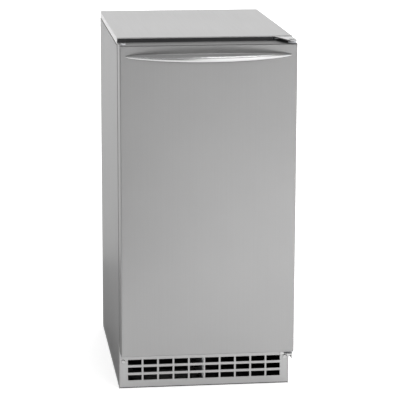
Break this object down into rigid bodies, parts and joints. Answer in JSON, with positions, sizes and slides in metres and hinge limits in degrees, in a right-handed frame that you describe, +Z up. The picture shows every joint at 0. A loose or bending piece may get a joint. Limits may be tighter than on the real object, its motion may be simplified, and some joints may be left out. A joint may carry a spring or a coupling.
{
  "type": "ice maker",
  "caption": "Tall undercounter ice maker with a stainless cabinet, a full-height hinged door with a bow handle, a slotted base grille and an insulated bin below a spray ice module.",
  "frame": {"origin": "middle of the cabinet's footprint, on the surface it stands on", "axes": "+Z up, front and door towards -Y, +X to the right seen from the front"},
  "size_m": [0.378, 0.639, 0.78],
  "materials": {
    "stainless_steel": "satin",
    "polished_stainless": "polished",
    "galvanised_steel": "satin",
    "fastener_steel": "satin",
    "black_plastic": "matte",
    "white_plastic": "satin",
    "grey_plastic": "satin",
    "blue_grey_plastic": "satin",
    "clear_blue_plastic": "gloss",
    "foam": "matte",
    "gasket_rubber": "matte",
    "rubber": "matte",
    "tinned_copper": "satin",
    "copper": "satin",
    "brass_fitting": "satin",
    "black_fins": "satin",
    "aluminium_fins": "satin",
    "black_painted_steel": "satin",
    "circuit_board": "gloss"
  },
  "bodies": {
    "cabinet": {"base_pan": "black_painted_steel", "left_side_panel": "stainless_steel", "right_side_panel": "stainless_steel", "rear_panel": "galvanised_steel", "top_panel": "stainless_steel", "header_trim": "black_plastic", "inner_frame": "galvanised_steel", "grille_panel": "stainless_steel", "lower_fascia": "stainless_steel", "cabinet_screws": "fastener_steel", "cabinet_insulation": "foam", "bin_liner": "white_plastic", "hinge_brackets": "fastener_steel", "hinge_pins": "fastener_steel", "spray_housing": "white_plastic", "evaporator_plate": "tinned_copper", "evaporator_coil": "copper", "reservoir": "grey_plastic", "ice_chute": "blue_grey_plastic", "spray_bar": "grey_plastic", "curtain_rod": "fastener_steel", "pump_bracket": "grey_plastic", "pump_housing": "black_plastic", "pump_motor": "black_painted_steel", "water_tubes": "grey_plastic", "refrigerant_lines": "copper", "filter_drier": "copper", "hot_gas_valve": "brass_fitting", "condenser_coil": "black_fins", "condenser_fins": "black_fins", "fan_shroud": "galvanised_steel", "fan_motor": "black_painted_steel", "compressor": "black_painted_steel", "compressor_grommets": "rubber", "compressor_bolts": "fastener_steel", "terminal_cover": "black_plastic", "water_inlet_valve": "grey_plastic", "drain_fittings": "grey_plastic", "drain_hose": "rubber", "cord_gland": "black_plastic", "control_box": "galvanised_steel", "control_board": "circuit_board", "switch_frame": "black_plastic", "thermostat_bulb": "tinned_copper", "scoop_peg": "grey_plastic"},
    "door": {"door_bushes": "grey_plastic", "door_skin": "stainless_steel", "door_insulation": "foam", "door_inner_liner": "white_plastic", "door_gasket": "gasket_rubber", "handle": "polished_stainless", "handle_screws": "fastener_steel"},
    "fan": {"fan_blade": "aluminium_fins"},
    "impeller": {"pump_impeller": "grey_plastic"},
    "float": {"water_float": "white_plastic"},
    "rocker": {"rocker_switch": "black_plastic"},
    "scoop": {"ice_scoop": "clear_blue_plastic"},
    "flap_1": {"curtain_flap_1": "white_plastic"},
    "flap_2": {"curtain_flap_2": "white_plastic"},
    "flap_3": {"curtain_flap_3": "white_plastic"}
  },
  "joints": [
    {"name": "door_hinge", "type": "hinge", "parent": "cabinet", "child": "door", "pos_m": [0.18, -0.3005, 0.43], "axis": [0, 0, 1], "range_deg": [0, 110]},
    {"name": "fan_spin", "type": "hinge", "parent": "cabinet", "child": "fan", "pos_m": [-0.094, -0.14, 0.106], "axis": [0, 1, 0], "continuous": true},
    {"name": "impeller_spin", "type": "hinge", "parent": "cabinet", "child": "impeller", "pos_m": [0.12, 0.12, 0.58], "axis": [0, 0, 1], "continuous": true},
    {"name": "float_slide", "type": "slide", "parent": "cabinet", "child": "float", "axis": [0, 0, 1], "range_m": [0, 0.02]},
    {"name": "switch_rock", "type": "hinge", "parent": "cabinet", "child": "rocker", "pos_m": [0.096, -0.2495, 0.163], "axis": [-1, 0, 0], "range_deg": [0, 14]},
    {"name": "scoop_slide", "type": "slide", "parent": "cabinet", "child": "scoop", "axis": [1, 0, 0], "range_m": [0, 0.03]},
    {"name": "flap_1_swing", "type": "hinge", "parent": "cabinet", "child": "flap_1", "pos_m": [-0.034, -0.034, 0.688], "axis": [-1, 0, 0], "range_deg": [0, 65]},
    {"name": "flap_2_swing", "type": "hinge", "parent": "cabinet", "child": "flap_2", "pos_m": [-0.034, -0.034, 0.688], "axis": [-1, 0, 0], "range_deg": [0, 65]},
    {"name": "flap_3_swing", "type": "hinge", "parent": "cabinet", "child": "flap_3", "pos_m": [-0.034, -0.034, 0.688], "axis": [-1, 0, 0], "range_deg": [0, 65]}
  ]
}
